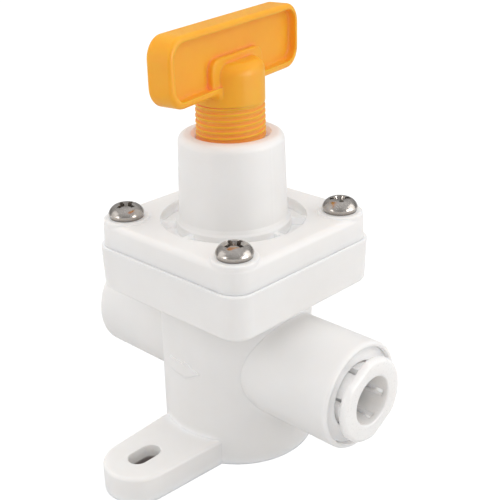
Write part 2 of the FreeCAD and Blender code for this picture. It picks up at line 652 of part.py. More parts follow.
def diaphragm_plate():
    """Stiff disc over the diaphragm; a low collar centres the spring."""
    low = DIAPHRAGM_TOP_Z + FIT_GAP / 2
    high = plate_top_z()
    top = high + PLATE_COLLAR_H
    hole_r = STUD_R + 2 * SLIP_GAP
    collar_r = SPRING_MEAN_R + SPRING_WIRE / 2 + 0.2
    collar_wall = 0.5
    chamfer = 0.2
    rounding = 0.5
    return turned([(hole_r, low), (PLATE_R - rounding, low), (PLATE_R, low + rounding),
                   (PLATE_R, high - chamfer), (PLATE_R - chamfer, high),
                   (collar_r + collar_wall + chamfer, high), (collar_r + collar_wall, top),
                   (collar_r, top), (collar_r, high), (hole_r, high)])


def diaphragm():
    """Moulded rubber disc with one rolled convolution and a bead at its edge."""
    top = DIAPHRAGM_TOP_Z
    low = top - RUBBER
    half = RUBBER / 2
    middle = top - half
    disc = tube(STUD_R + 2 * SLIP_GAP, ROLL_R - ROLL_MID + half, low, top)
    rim_r = ROLL_R + ROLL_MID - half
    rim = turned([(rim_r, low), (BEAD_INNER_R, low), (BEAD_INNER_R, BEAD_BOTTOM_Z),
                  (BEAD_OUTER_R, BEAD_BOTTOM_Z), (BEAD_OUTER_R, top), (rim_r, top)])
    roll = Part.makeTorus(ROLL_R, ROLL_MID + half, V(0, 0, middle))
    roll = roll.cut(Part.makeTorus(ROLL_R, ROLL_MID - half, V(0, 0, middle)))
    roll = roll.common(cylinder(BEAD_OUTER_R, middle, middle + 2 * ROLL_MID))
    return fused([disc, rim, roll])


def diaphragm_pusher():
    """Disc below the diaphragm, its threaded stud upward and its push stem downward."""
    high = DIAPHRAGM_TOP_Z - RUBBER - FIT_GAP / 2
    low = high - PUSHER_THICK
    stem_z = poppet_top_z() + FIT_GAP
    stud_top = plate_top_z() + NUT_THICK + STUD_PROUD
    chamfer = 0.3
    return turned([(0, stem_z), (STEM_R, stem_z), (STEM_R, low - PUSHER_CONE_H), (PUSHER_CONE_R, low),
                   (PUSHER_R - chamfer, low), (PUSHER_R, low + chamfer), (PUSHER_R, high), (STUD_R, high),
                   (STUD_R, stud_top - chamfer), (STUD_R - chamfer, stud_top), (0, stud_top)])


def diaphragm_nut():
    low = plate_top_z() + FIT_GAP / 2
    corner_r = NUT_FLATS / math.sqrt(3)
    corners = [V(corner_r * math.cos(math.radians(60 * k)), corner_r * math.sin(math.radians(60 * k)), low)
               for k in range(6)]
    nut = Part.Face(Part.makePolygon(corners + corners[:1])).extrude(V(0, 0, NUT_THICK))
    chamfer = Part.makeCone(corner_r + 0.9, corner_r - 0.35, NUT_THICK + 0.1, V(0, 0, low))
    hole = cylinder(STUD_R + FIT_GAP / 2, low - OVERSHOOT, low + NUT_THICK + OVERSHOOT)
    return nut.common(chamfer).cut(hole)


# ---- seat and poppet ------------------------------------------------------------------------
def seat_insert():
    """Orifice with a raised lip below and a guide for the push stem above."""
    low = SEAT_SHELF_Z + FIT_GAP / 2
    high = SEAT_TOP_Z
    web_z = high - SEAT_WEB_THICK
    base_z = low + SEAT_LIP_HEIGHT
    groove_low = SEAT_ORING_Z - SEAT_GROOVE_HALF
    groove_high = SEAT_ORING_Z + SEAT_GROOVE_HALF
    outer = SEAT_BORE_R - SLIP_GAP
    guide_r = STEM_R + 0.12
    slope = 0.4
    bush = turned([(SEAT_LIP_INNER_R, low), (SEAT_LIP_OUTER_R, low), (SEAT_LIP_OUTER_R + slope, base_z),
                   (outer, base_z), (outer, groove_low), (SEAT_GROOVE_R, groove_low),
                   (SEAT_GROOVE_R, groove_high), (outer, groove_high), (outer, high - slope),
                   (outer - slope, high), (guide_r, high), (guide_r, web_z), (SEAT_CUP_R, web_z),
                   (SEAT_CUP_R, base_z + 1.5), (SEAT_LIP_INNER_R, base_z + 0.5)])
    for index in range(SEAT_HOLES):
        hole = cylinder(SEAT_HOLE_R, web_z - OVERSHOOT, high + OVERSHOOT, (guide_r + SEAT_CUP_R) / 2 + 0.1)
        bush = bush.cut(spun(hole, 45 + index * 360 / SEAT_HOLES))
    return bush


def seat_oring():
    return o_ring(SEAT_ORING_R, SEAT_ORING_SECTION_R, SEAT_ORING_Z)


def poppet_top_z():
    return SEAT_SHELF_Z - POPPET_SINK


def poppet():
    """Guided plug: a cup for the seal on top, three fins in the bore and a spring spigot."""
    top = poppet_top_z()
    chamfer = 0.4
    core = turned([(0, POPPET_SPIGOT_Z), (POPPET_SPIGOT_R - chamfer, POPPET_SPIGOT_Z),
                   (POPPET_SPIGOT_R, POPPET_SPIGOT_Z + chamfer), (POPPET_SPIGOT_R, POPPET_HEAD_LOW_Z),
                   (POPPET_HEAD_R, POPPET_HEAD_LOW_Z), (POPPET_HEAD_R, POPPET_HEAD_TOP_Z),
                   (POPPET_CUP_R, POPPET_HEAD_TOP_Z), (POPPET_CUP_R, POPPET_CUP_Z),
                   (POPPET_CORE_R, POPPET_CUP_Z), (POPPET_CORE_R, top), (0, top)])
    shapes = [core]
    for index in range(POPPET_FINS):
        fin = block(POPPET_FIN_INNER_R, POPPET_BORE_R - 0.15, -POPPET_FIN_HALF, POPPET_FIN_HALF,
                    POPPET_FIN_LOW_Z, POPPET_FIN_TOP_Z)
        shapes.append(spun(fin, 60 + index * 360 / POPPET_FINS))
    return fused(shapes)


def poppet_seal():
    gap = FIT_GAP / 2
    return tube(STEM_R + 2 * SLIP_GAP, POPPET_CUP_R - gap, POPPET_CUP_Z + gap, SEAT_SHELF_Z - gap)


def poppet_spring():
    return coil_spring(POPPET_SPRING_MEAN_R, POPPET_SPRING_WIRE, POPPET_SPRING_TURNS,
                       POPPET_FLOOR_Z + FIT_GAP / 2, POPPET_HEAD_LOW_Z - FIT_GAP / 2)


# ---- push-fit ports -------------------------------------------------------------------------
def cartridge():
    """Ring fixed in the port's mouth; its cone squeezes the collet's fingers on the tube."""
    outer = CARTRIDGE_POCKET_R - SLIP_GAP
    lip = PORT_RECESS_R - SLIP_GAP
    lip_z = PORT_RECESS + FIT_GAP
    bore = CARTRIDGE_BORE_R
    chamfer = 0.15
    lead_in = 0.25
    return turned([(CARTRIDGE_CONE_R, CARTRIDGE_BACK), (outer, CARTRIDGE_BACK), (outer, lip_z),
                   (lip, lip_z), (lip, CARTRIDGE_FACE - chamfer), (lip - chamfer, CARTRIDGE_FACE),
                   (bore + lead_in, CARTRIDGE_FACE), (bore, CARTRIDGE_FACE - lead_in),
                   (bore, CARTRIDGE_CONE_END), (CARTRIDGE_CONE_R, CARTRIDGE_CONE_START)])


def spacer():
    return tube(TUBE_POCKET_R + 2 * SLIP_GAP, CARTRIDGE_POCKET_R - 2 * SLIP_GAP,
                CARTRIDGE_POCKET + FIT_GAP, SPACER_END)


def port_oring():
    return o_ring(PORT_ORING_R, PORT_ORING_SECTION_R, PORT_ORING_PLACE)


def tooth_blades(grow):
    """Thin blades, one in each finger of the collet; grow widens them into their pockets."""
    inner = TUBE_POCKET_R + TOOTH_CLEARANCE
    half_width = TOOTH_HALF_WIDTH + grow
    half_thick = TOOTH_THICK / 2 + grow
    blade = block(-TOOTH_TOP_R - grow, grow - inner, -half_width, half_width, -half_thick, half_thick)
    blade = blade.rotated(V(-TUBE_POCKET_R, 0, 0), V(0, 1, 0), TOOTH_TILT)
    blade = blade.translated(V(0, 0, TOOTH_PLACE))
    blade = blade.cut(cylinder(inner, 0, PORT_END))
    return [spun(blade, finger_angle(index)) for index in range(COLLET_SLOTS)]


def port_angle(angle):
    """Angle about +Z, before laying on the port, that ends at this angle from +Y toward +Z."""
    return 90.0 + angle


def finger_angle(index):
    step = 360 / COLLET_SLOTS
    return port_angle(COLLET_SLOT_ANGLE + step / 2 + step * index) + 180


def collet():
    """Release collet: round flange with two flats, and six springy fingers inside the port."""
    root = COLLET_FLANGE_BACK + 0.3
    shoulder = COLLET_TIP + COLLET_TIP_CHAMFER
    sleeve = turned([(TUBE_POCKET_R, COLLET_TIP), (COLLET_HEAD_R - 0.8, COLLET_TIP),
                     (COLLET_HEAD_R, shoulder), (COLLET_HEAD_R, COLLET_HEAD_END),
                     (COLLET_NECK_R, COLLET_NECK_START), (COLLET_NECK_R, root), (TUBE_POCKET_R, root)])
    half = COLLET_SLOT_WIDTH / 2
    slit = block(0, COLLET_HEAD_R + OVERSHOOT, -half, half, COLLET_TIP - OVERSHOOT, COLLET_FLANGE_BACK)
    for index in range(COLLET_SLOTS):
        sleeve = sleeve.cut(spun(slit, port_angle(COLLET_SLOT_ANGLE + index * 360 / COLLET_SLOTS)))
    flange = cylinder(COLLET_FLANGE_R, COLLET_FLANGE_BACK, COLLET_FACE)
    flange = flange.common(block(-COLLET_FLAT_HALF, COLLET_FLAT_HALF, -COLLET_FLANGE_R, COLLET_FLANGE_R,
                                 COLLET_FLANGE_BACK, COLLET_FACE))
    upright = [edge for edge in flange.Edges if edge.BoundBox.ZLength > 1]
    flange = flange.makeFillet(COLLET_FLAT_BLEND, upright)
    flange = spun(flange, port_angle(COLLET_FLAT_ANGLE))
    flange = flange.makeFillet(COLLET_RIM_FILLET, edges_at_height(flange, COLLET_FACE, 5))
    bore = cylinder(TUBE_POCKET_R, COLLET_FLANGE_BACK - OVERSHOOT, COLLET_FACE + OVERSHOOT)
    flange = flange.cut(bore)
    mouth = [edge for edge in edges_at_height(flange, COLLET_FACE, 1)
             if edge.BoundBox.XLength < 2.1 * TUBE_POCKET_R]
    flange = flange.makeFillet(COLLET_MOUTH_FILLET, mouth)
    whole = sleeve.fuse(flange).removeSplitter()
    for pocket in tooth_blades(TOOTH_POCKET_GAP):
        whole = whole.cut(pocket)
    return whole


def collet_teeth():
    return Part.makeCompound(tooth_blades(0))


# ---- the assembly ---------------------------------------------------------------------------
def all_nodes():
    nodes = {
        "valve_body": valve_body(),
        "bonnet": bonnet(),
        "bonnet_screws": bonnet_screws(),
        "t_handle": t_handle(),
        "spring_button": spring_button(),
        "range_spring": range_spring(),
        "diaphragm_plate": diaphragm_plate(),
        "diaphragm": diaphragm(),
        "diaphragm_pusher": diaphragm_pusher(),
        "diaphragm_nut": diaphragm_nut(),
        "seat_insert": seat_insert(),
        "seat_oring": seat_oring(),
        "poppet": poppet(),
        "poppet_seal": poppet_seal(),
        "poppet_spring": poppet_spring(),
    }
    port_parts = {"collet": collet(), "collet_teeth": collet_teeth(), "cartridge": cartridge(),
                  "spacer": spacer(), "oring": port_oring()}
    for prefix, side in (("outlet", 1), ("inlet", -1)):
        for name, shape in port_parts.items():
            nodes[f"{prefix}_{name}"] = along_port(shape, side)
    return nodes


def main():
    os.makedirs("parts", exist_ok=True)
    for name, shape in all_nodes().items():
        shape.exportStep(f"parts/{name}.step")


main()
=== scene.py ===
"""Looks, studio and camera for the diaphragm pressure regulator. Metres, in the CAD frame."""
import bpy
import json
import math
from mathutils import Matrix, Vector

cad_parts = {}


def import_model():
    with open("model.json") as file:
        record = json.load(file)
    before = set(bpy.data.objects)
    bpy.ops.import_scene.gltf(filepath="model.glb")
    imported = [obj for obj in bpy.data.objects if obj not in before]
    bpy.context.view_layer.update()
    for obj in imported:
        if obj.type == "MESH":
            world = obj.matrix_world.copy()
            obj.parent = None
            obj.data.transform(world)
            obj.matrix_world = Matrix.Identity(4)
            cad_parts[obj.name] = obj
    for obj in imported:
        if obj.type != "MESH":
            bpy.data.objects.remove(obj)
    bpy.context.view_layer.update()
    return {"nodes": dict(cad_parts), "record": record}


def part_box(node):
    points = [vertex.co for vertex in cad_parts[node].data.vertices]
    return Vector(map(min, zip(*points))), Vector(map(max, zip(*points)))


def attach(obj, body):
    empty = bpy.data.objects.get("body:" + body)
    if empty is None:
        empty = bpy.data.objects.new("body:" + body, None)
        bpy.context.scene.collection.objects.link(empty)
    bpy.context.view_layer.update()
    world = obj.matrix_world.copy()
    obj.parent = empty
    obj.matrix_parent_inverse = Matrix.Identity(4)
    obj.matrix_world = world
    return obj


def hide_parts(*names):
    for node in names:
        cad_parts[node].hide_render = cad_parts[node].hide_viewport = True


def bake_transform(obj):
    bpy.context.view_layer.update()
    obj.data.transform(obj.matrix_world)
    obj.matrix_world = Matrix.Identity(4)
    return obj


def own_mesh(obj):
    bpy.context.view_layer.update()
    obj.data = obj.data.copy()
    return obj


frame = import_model()
MM = 0.001

# ---- dimensions of the object that the looks follow ---------------------------------------------
SCREW_HEAD_R = 3.5 * MM
SLOT_INSET = 8.4 * MM           # from the end of the foot to the middle of its slot
SLOT_HALF_WIDTH = 2.3 * MM
SLOT_HALF_LENGTH = 3.8 * MM
SLOT_LIP = 3.15 * MM            # height below which the inside of the slots gets a painted shadow
SLOT_FADE = 0.5 * MM
SLOT_SHADE = 5.0 * MM           # half side of the dark patch of floor under a slot

RANGE_SPRING = {"mean_r": 4.1 * MM, "wire_r": 0.6 * MM, "turns": 9.5}
POPPET_SPRING = {"mean_r": 2.9 * MM, "wire_r": 0.25 * MM, "turns": 8.0}
SPRING_STEPS = 40               # steps along one turn of wire
SPRING_RING = 16                # points round the wire
CLOSED_PITCH = 1.04             # pitch of the closed end turns, in wire thicknesses

BEAD_WIDTH = 1.2 * MM           # rim of the diaphragm clamped under the bonnet
BEAD_TOP = 1.25 * MM            # from the highest point of the roll down to the flat sheet
SHEET_THICK = 0.7 * MM
HOLE_R = 1.55 * MM
FLAT_R = 5.0 * MM
ROLL_R = 9.6 * MM
ROLL_CREST_R = 1.6 * MM
ROLL_HOLLOW_R = 0.9 * MM
ROLL_STEP = 15                  # degrees
ROLL_OVERLAP = 0.05 * MM
SMALL_CHAMFER = 0.15 * MM
BEAD_CHAMFER = 0.25 * MM
SECTORS = 8
SECTOR_STEPS = 8


# ---- node helper --------------------------------------------------------------------------------
class Shader:
    """A material's or a world's node tree, built one node at a time."""

    def __init__(self, name, world=None):
        self.block = world or bpy.data.materials.new(name)
        self.block.use_nodes = True
        self.tree = self.block.node_tree
        self.tree.nodes.clear()

    def add(self, kind, inputs=None, **settings):
        node = self.tree.nodes.new("ShaderNode" + kind)
        for key, value in settings.items():
            setattr(node, key, value)
        for key, value in (inputs or {}).items():
            self.put(node, key, value)
        return node

    def put(self, node, key, value):
        if isinstance(value, bpy.types.Node):
            value = value.outputs[0]
        if isinstance(value, bpy.types.NodeSocket):
            self.tree.links.new(value, node.inputs[key])
        else:
            node.inputs[key].default_value = value

    def math(self, operation, a, b=0.0):
        return self.add("Math", {0: a, 1: b}, operation=operation)

    def noise(self, where, scale, detail=3.0, roughness=0.55):
        inputs = {"Vector": where, "Scale": scale, "Detail": detail, "Roughness": roughness}
        return self.add("TexNoise", inputs).outputs[0]

    def span(self, value, low, high, to_low, to_high):
        inputs = {"Value": value, 1: low, 2: high, 3: to_low, 4: to_high}
        return self.add("MapRange", inputs, clamp=True).outputs[0]

    def mix(self, share, first, second):
        return self.add("MixRGB", {"Fac": share, "Color1": first, "Color2": second})

    def bump(self, height, strength, distance, normal=None):
        inputs = {"Height": height, "Strength": strength, "Distance": distance}
        if normal is not None:
            inputs["Normal"] = normal
        return self.add("Bump", inputs)

    def place(self):
        """Place on the piece, in the piece's own metres."""
        return self.add("TexCoord").outputs["Object"]

    def rounded(self, radius):
        """Normal with the edges rounded off."""
        return self.add("Bevel", {"Radius": radius}, samples=4).outputs[0]

    def edge_mask(self, rounded):
        """1 on convex and concave edges, 0 on open faces."""
        flat = self.add("NewGeometry").outputs["Normal"]
        facing = self.add("VectorMath", {0: rounded, 1: flat}, operation="DOT_PRODUCT").outputs["Value"]
        return self.span(facing, 0.985, 0.80, 0.0, 1.0)

    def openness(self, reach):
        """1 on open faces, falling toward 0 deep inside gaps and recesses."""
        return self.add("AmbientOcclusion", {"Distance": reach}, samples=6).outputs["AO"]

    def length(self, vector):
        return self.add("VectorMath", {0: vector}, operation="LENGTH").outputs["Value"]

    def finish(self, surface):
        self.add("OutputMaterial", {"Surface": surface})
        return self.block


def rgb(red, green, blue):
    return (red, green, blue, 1.0)


# ---- materials ----------------------------------------------------------------------------------
# painted shadow in the lower part of the slots of the feet
SLOT_PAINTED_SHADOW = rgb(0.19, 0.155, 0.145)
SLOT_PAINTED_SHADOW_SHARE = 0.9

CLOUD_SCALE = 70.0              # noise scales, from broad clouding down to mould grain
SINK_SCALE = 55.0
FLECK_SCALE = 900.0
GRAIN_SCALE = 3200.0
SINK_DEPTH = 0.25 * MM
GRAIN_DEPTH = 0.02 * MM
PLASTIC_EDGE_R = 0.28 * MM
METAL_EDGE_R = 0.10 * MM
EDGE_LIGHT_SHARE = 0.7                # how far the painted edge light takes over along an edge
EDGE_POLISH = 0.03              # how much smoother an edge is
OPEN = 0.76                     # openness where the painted light and shade of gaps start, and where they are full
SHUT = 0.25

SCREW_RINGS = 30000.0           # turning marks, in radians per metre
# reach of the painted shade in the screw recesses
SCREW_RECESS_SHADE_REACH = 0.9 * MM
NUT_RINGS = 38000.0


def within(s, where, half_x, half_y):
    """1 inside a rectangle round the slots of the two feet, 0 elsewhere."""
    split = s.add("SeparateXYZ", {0: where})
    low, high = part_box("valve_body")
    slot_y = s.math("SUBTRACT", s.math("ABSOLUTE", split.outputs[1]), high.y - SLOT_INSET)
    beside = s.math("LESS_THAN", s.math("ABSOLUTE", split.outputs[0]), half_x)
    along = s.math("LESS_THAN", s.math("ABSOLUTE", slot_y), half_y)
    return s.math("MULTIPLY", beside, along)


def slot_shadow(s, where, tone):
    """Painted shadow on the lower part of the foot's slots, as if a dark pocket lay under them."""
    level = s.add("SeparateXYZ", {0: where}).outputs[2]
    under = s.span(level, SLOT_LIP, SLOT_LIP - SLOT_FADE, 0.0, SLOT_PAINTED_SHADOW_SHARE)
    share = s.math("MULTIPLY", under, within(s, where, SLOT_HALF_WIDTH, SLOT_HALF_LENGTH))
    return s.mix(share, tone, SLOT_PAINTED_SHADOW)


def moulded_plastic(name, colour, deep, edge, hollow, gap, scatter, reach, roughness, grain, gloss=0.5,
                    painted_glow=0.0, feet=False):
    """Injection-moulded plastic: cloudy tone, soft mould grain, sink marks, polished edges with painted light
    along them.

    The colour goes over to `hollow`, painted light and shade, where walls less than `gap` apart pass the
    light back and forth, and `painted_glow` is a painted glow for the light that comes through the thin walls
    of such gaps.
    """
    s = Shader(name)
    where = s.place()
    rounded = s.rounded(PLASTIC_EDGE_R)
    edges = s.edge_mask(rounded)
    cloud = s.noise(where, CLOUD_SCALE, 4.0)
    fleck = s.noise(where, FLECK_SCALE, 2.0)
    tone = s.mix(s.span(cloud, 0.35, 0.65, 0.0, 1.0), colour, deep)
    tone = s.mix(s.span(fleck, 0.60, 0.75, 0.0, 0.25), tone, deep)
    # painted edge light: the edge colour is a painted highlight and the look of light through thin rims
    tone = s.mix(s.math("MULTIPLY", edges, EDGE_LIGHT_SHARE), tone, edge)
    # painted light and shade in gaps: the hollow colour is lighter in the whites, redder in the orange and
    # darker in the black
    openness = s.openness(gap)
    tone = s.mix(s.span(openness, OPEN, SHUT, 0.0, 1.0), tone, hollow)
    # painted shadow in the slots of the feet
    if feet:
        tone = slot_shadow(s, where, tone)
    # painted glow: emission in shallow gaps stands for light that comes through thin walls
    glow_share = s.math("MULTIPLY", s.span(openness, 0.85, 0.5, 0.0, 1.0), s.span(openness, 0.25, 0.5, 0.0, 1.0))
    grainy = s.noise(where, GRAIN_SCALE, 3.0, 0.6)
    polish = s.span(grainy, 0.3, 0.7, roughness - 0.05, roughness + 0.06)
    worn = s.math("MULTIPLY", edges, EDGE_POLISH)
    polish = s.math("SUBTRACT", polish, worn)
    sink = s.bump(s.noise(where, SINK_SCALE, 2.0, 0.4), 0.25, SINK_DEPTH, rounded)
    skin = s.bump(grainy, grain, GRAIN_DEPTH, sink)
    body = s.add("BsdfPrincipled", {
        "Base Color": tone, "Roughness": polish, "IOR": 1.48, "Normal": skin,
        "Subsurface Weight": scatter, "Subsurface Radius": reach, "Subsurface Scale": 1.0 * MM,
        "Specular IOR Level": gloss, "Emission Color": hollow,
        "Emission Strength": s.math("MULTIPLY", glow_share, painted_glow)})
    return s.finish(body)


def screw_steel(name):
    """Tumbled stainless steel with turning rings round each screw and fine scratches."""
    s = Shader(name)
    where = s.place()
    split = s.add("SeparateXYZ", {0: where})
    low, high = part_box("bonnet_screws")
    screw_offset = (high.x - low.x) / 2 - SCREW_HEAD_R
    radial = []
    for axis in (0, 1):
        inward = s.math("ABSOLUTE", split.outputs[axis])
        radial.append(s.math("SUBTRACT", inward, screw_offset))
    rings = s.math("SINE", s.math("MULTIPLY", s.length(s.add("CombineXYZ", {0: radial[0], 1: radial[1]})),
                                  SCREW_RINGS))
    stretched = s.add("Mapping", {"Vector": where, "Scale": (900.0, 9000.0, 3000.0),
                                  "Rotation": (0.0, 0.0, 0.6)})
    scratch = s.noise(stretched, 1.0, 4.0, 0.7)
    blotch = s.noise(where, 700.0, 4.0)
    rounded = s.rounded(METAL_EDGE_R)
    edges = s.edge_mask(rounded)
    tone = s.mix(s.span(blotch, 0.3, 0.7, 0.0, 1.0), rgb(0.55, 0.515, 0.48), rgb(0.42, 0.39, 0.36))
    tone = s.mix(s.math("MULTIPLY", edges, 0.5), tone, rgb(0.76, 0.74, 0.71))
    # painted shade: the screws darken to near black inside the cross recess and other hollows
    tone = s.mix(s.span(s.openness(SCREW_RECESS_SHADE_REACH), 0.75, 0.25, 0.0, 1.0), tone, rgb(0.045, 0.035, 0.030))
    polish = s.span(scratch, 0.35, 0.7, 0.17, 0.30)
    turned = s.bump(rings, 0.10, 0.004 * MM, rounded)
    skin = s.bump(scratch, 0.16, 0.012 * MM, turned)
    body = s.add("BsdfPrincipled", {"Base Color": tone, "Metallic": 1.0, "Roughness": polish,
                                    "Normal": skin})
    return s.finish(body)


def drawn_wire(name):
    """Spring wire: darker drawing lines and a thin film of oil."""
    s = Shader(name)
    where = s.place()
    lines = s.noise(s.add("Mapping", {"Vector": where, "Scale": (2500.0, 2500.0, 9000.0)}), 1.0, 4.0, 0.7)
    film = s.noise(where, 350.0, 3.0)
    tone = s.mix(s.span(film, 0.35, 0.65, 0.0, 1.0), rgb(0.55, 0.54, 0.52), rgb(0.42, 0.41, 0.40))
    polish = s.span(lines, 0.3, 0.7, 0.20, 0.40)
    skin = s.bump(lines, 0.25, 0.01 * MM)
    body = s.add("BsdfPrincipled", {"Base Color": tone, "Metallic": 1.0, "Roughness": polish,
                                    "Normal": skin, "Coat Weight": 0.2, "Coat Roughness": 0.12})
    return s.finish(body)


def moulded_rubber(name):
    """Black rubber with a fine skin and a grey bloom."""
    s = Shader(name)
    where = s.place()
    bloom = s.noise(where, 260.0, 4.0)
    pores = s.noise(where, 4200.0, 3.0, 0.6)
    tone = s.mix(s.span(bloom, 0.45, 0.75, 0.0, 0.5), rgb(0.022, 0.022, 0.023), rgb(0.075, 0.074, 0.072))
    polish = s.span(pores, 0.3, 0.7, 0.48, 0.70)
    skin = s.bump(pores, 0.35, 0.02 * MM)
    body = s.add("BsdfPrincipled", {"Base Color": tone, "Roughness": polish, "IOR": 1.5,
                                    "Normal": skin, "Sheen Weight": 0.12, "Sheen Roughness": 0.5})
    return s.finish(body)


def turned_brass(name):
    """Brass nut: turning marks in rings about the axis and slight tarnish."""
    s = Shader(name)
    where = s.place()
    tarnish = s.noise(where, 600.0, 4.0)
    flat = s.add("VectorMath", {0: where, 1: (1.0, 1.0, 0.0)}, operation="MULTIPLY").outputs[0]
    rings = s.math("SINE", s.math("MULTIPLY", s.length(flat), NUT_RINGS))
    rounded = s.rounded(METAL_EDGE_R)
    tone = s.mix(s.span(tarnish, 0.35, 0.7, 0.0, 1.0), rgb(0.80, 0.60, 0.25), rgb(0.58, 0.40, 0.15))
    polish = s.span(tarnish, 0.3, 0.7, 0.22, 0.38)
    skin = s.bump(rings, 0.2, 0.006 * MM, rounded)
    body = s.add("BsdfPrincipled", {"Base Color": tone, "Metallic": 1.0, "Roughness": polish,
                                    "Normal": skin})
    return s.finish(body)


WHITE_REACH = (2.0, 1.8, 1.6)
# edge colours below are painted edge light
# hollow colours below are painted light and shade in gaps
# passed values below are painted glow
MATERIALS = {
    "white_plastic": moulded_plastic(
        "white_plastic", colour=rgb(0.815, 0.805, 0.790), deep=rgb(0.790, 0.778, 0.760),
        edge=rgb(0.815, 0.808, 0.797), hollow=rgb(0.965, 0.97, 0.98), gap=2.6 * MM, scatter=0.55,
        reach=WHITE_REACH, roughness=0.42, grain=0.10, gloss=0.4, painted_glow=0.06, feet=True),
    # cartridge rings: a lighter copy of the white plastic with a stronger painted glow, painted light for
    # their deep, shaded seat
    "cartridge_painted_light": moulded_plastic(
        "cartridge_painted_light", colour=rgb(0.90, 0.892, 0.88), deep=rgb(0.87, 0.862, 0.85),
        edge=rgb(0.92, 0.915, 0.90), hollow=rgb(0.965, 0.95, 0.94), gap=2.6 * MM, scatter=0.7,
        reach=WHITE_REACH, roughness=0.42, grain=0.10, gloss=0.4, painted_glow=0.18),
    "orange_plastic": moulded_plastic(
        "orange_plastic", colour=rgb(0.835, 0.408, 0.027), deep=rgb(0.815, 0.368, 0.021),
        edge=rgb(0.70, 0.57, 0.045), hollow=rgb(0.96, 0.33, 0.140), gap=1.2 * MM, scatter=0.55,
        reach=(2.4, 0.9, 0.12), roughness=0.38, grain=0.10, gloss=0.28, painted_glow=0.07),
    "acetal": moulded_plastic(
        "acetal", colour=rgb(0.84, 0.825, 0.805), deep=rgb(0.81, 0.795, 0.775),
        edge=rgb(0.87, 0.86, 0.85), hollow=rgb(0.985, 0.975, 0.97), gap=2.8 * MM, scatter=0.75,
        reach=(3.2, 2.9, 2.7), roughness=0.30, grain=0.06, painted_glow=0.05),
    "button_plastic": moulded_plastic(
        "button_plastic", colour=rgb(0.035, 0.055, 0.095), deep=rgb(0.028, 0.045, 0.080),
        edge=rgb(0.08, 0.11, 0.16), hollow=rgb(0.02, 0.03, 0.05), gap=1.5 * MM, scatter=0.0,
        reach=(0.1, 0.1, 0.1), roughness=0.45, grain=0.15),
    "stainless": screw_steel("stainless"),
    "spring_steel": drawn_wire("spring_steel"),
    "black_rubber": moulded_rubber("black_rubber"),
    "brass_nut": turned_brass("brass_nut"),
}
for part in frame["record"]["subparts"]:
    holder = frame["nodes"][part["node"]]
    # the cartridges take the lighter copy of the plastic, painted light
    look = "cartridge_painted_light" if part["node"].endswith("_cartridge") else part["material_slot"]
    holder.data.materials.clear()
    holder.data.materials.append(MATERIALS[look])


# ---- pieces that change shape -------------------------------------------------------------------
def new_mesh(name, points, faces, slot):
    mesh = bpy.data.meshes.new(name)
    mesh.from_pydata(points, [], faces)
    mesh.update()
    for face in mesh.polygons:
        face.use_smooth = True
    piece = bpy.data.objects.new(name, mesh)
    bpy.context.scene.collection.objects.link(piece)
    mesh.materials.append(MATERIALS[slot])
    return piece


def coil(name, node, mean_r, wire_r, turns):
    """Round wire wound between the ends of the CAD spring, one closed turn and a ground face at each end."""
    low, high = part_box(node)
    bottom, top = low.z, high.z
    closed = CLOSED_PITCH * 2 * wire_r
    active = (top - bottom - 2 * closed) / (turns - 2)
    count = int(turns * SPRING_STEPS) + 1
    points = []
    for step in range(count):
        turn = step / SPRING_STEPS
        level = closed * (min(turn, 1.0) + max(turn - (turns - 1), 0.0))
        level += active * min(max(turn - 1.0, 0.0), turns - 2)
        angle = 2 * math.pi * turn
        outward = Vector((math.cos(angle), math.sin(angle), 0.0))
        centre = outward * mean_r + Vector((0.0, 0.0, bottom + level))
        for index in range(SPRING_RING):
            around = 2 * math.pi * index / SPRING_RING
            spot = centre + outward * (wire_r * math.cos(around))
            spot.z += wire_r * math.sin(around)
            spot.z = min(max(spot.z, bottom), top)
            points.append(spot)
    faces = []
    for step in range(count - 1):
        here = step * SPRING_RING
        there = here + SPRING_RING
        for index in range(SPRING_RING):
            after = (index + 1) % SPRING_RING
            faces.append((here + index, here + after, there + after, there + index))
    faces.append(tuple(reversed(range(SPRING_RING))))
    faces.append(tuple((count - 1) * SPRING_RING + index for index in range(SPRING_RING)))
    piece = new_mesh(name, points, faces, "spring_steel")
    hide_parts(node)
    return piece


def springs():
    """Both springs as wire standing on its lower end, each attached to its body."""
    for name, node, body, joint, wire in (
            ("range_spring_coil", "range_spring", "diaphragm_stack", "adjuster_travel", RANGE_SPRING),
            ("poppet_spring_coil", "poppet_spring", "housing", "poppet_lift", POPPET_SPRING)):
        piece = coil(name, node, **wire)
        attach(piece, body)
        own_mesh(piece)


def diaphragm_outline():
    """Half section of the rubber disc as (radius, height) points: hub hole, sheet, roll and bead."""
    low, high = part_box("diaphragm")
    outer = high.x
    bead_in = outer - BEAD_WIDTH
    top = high.z - BEAD_TOP
    under = top - SHEET_THICK
    middle = (top + under) / 2
    arc = [math.radians(angle) for angle in range(0, 181, ROLL_STEP)]
    crest = [(ROLL_R - ROLL_CREST_R * math.cos(a), middle + ROLL_CREST_R * math.sin(a)) for a in arc]
    hollow = [(ROLL_R + ROLL_HOLLOW_R * math.cos(a), middle + ROLL_HOLLOW_R * math.sin(a)) for a in arc]
    crest[0] = (crest[1][0] - ROLL_OVERLAP, top)
    crest[-1] = (crest[-2][0] + ROLL_OVERLAP, top)
    return [(HOLE_R, top), (FLAT_R, top)] + crest + [
        (outer - SMALL_CHAMFER, top), (outer, top - SMALL_CHAMFER), (outer, low.z + BEAD_CHAMFER),
        (outer - BEAD_CHAMFER, low.z), (bead_in + BEAD_CHAMFER, low.z), (bead_in, low.z + BEAD_CHAMFER),
        (bead_in, under), (ROLL_R + ROLL_HOLLOW_R, under)] + hollow + [
        (ROLL_R - ROLL_HOLLOW_R, under), (FLAT_R, under), (HOLE_R, under)]


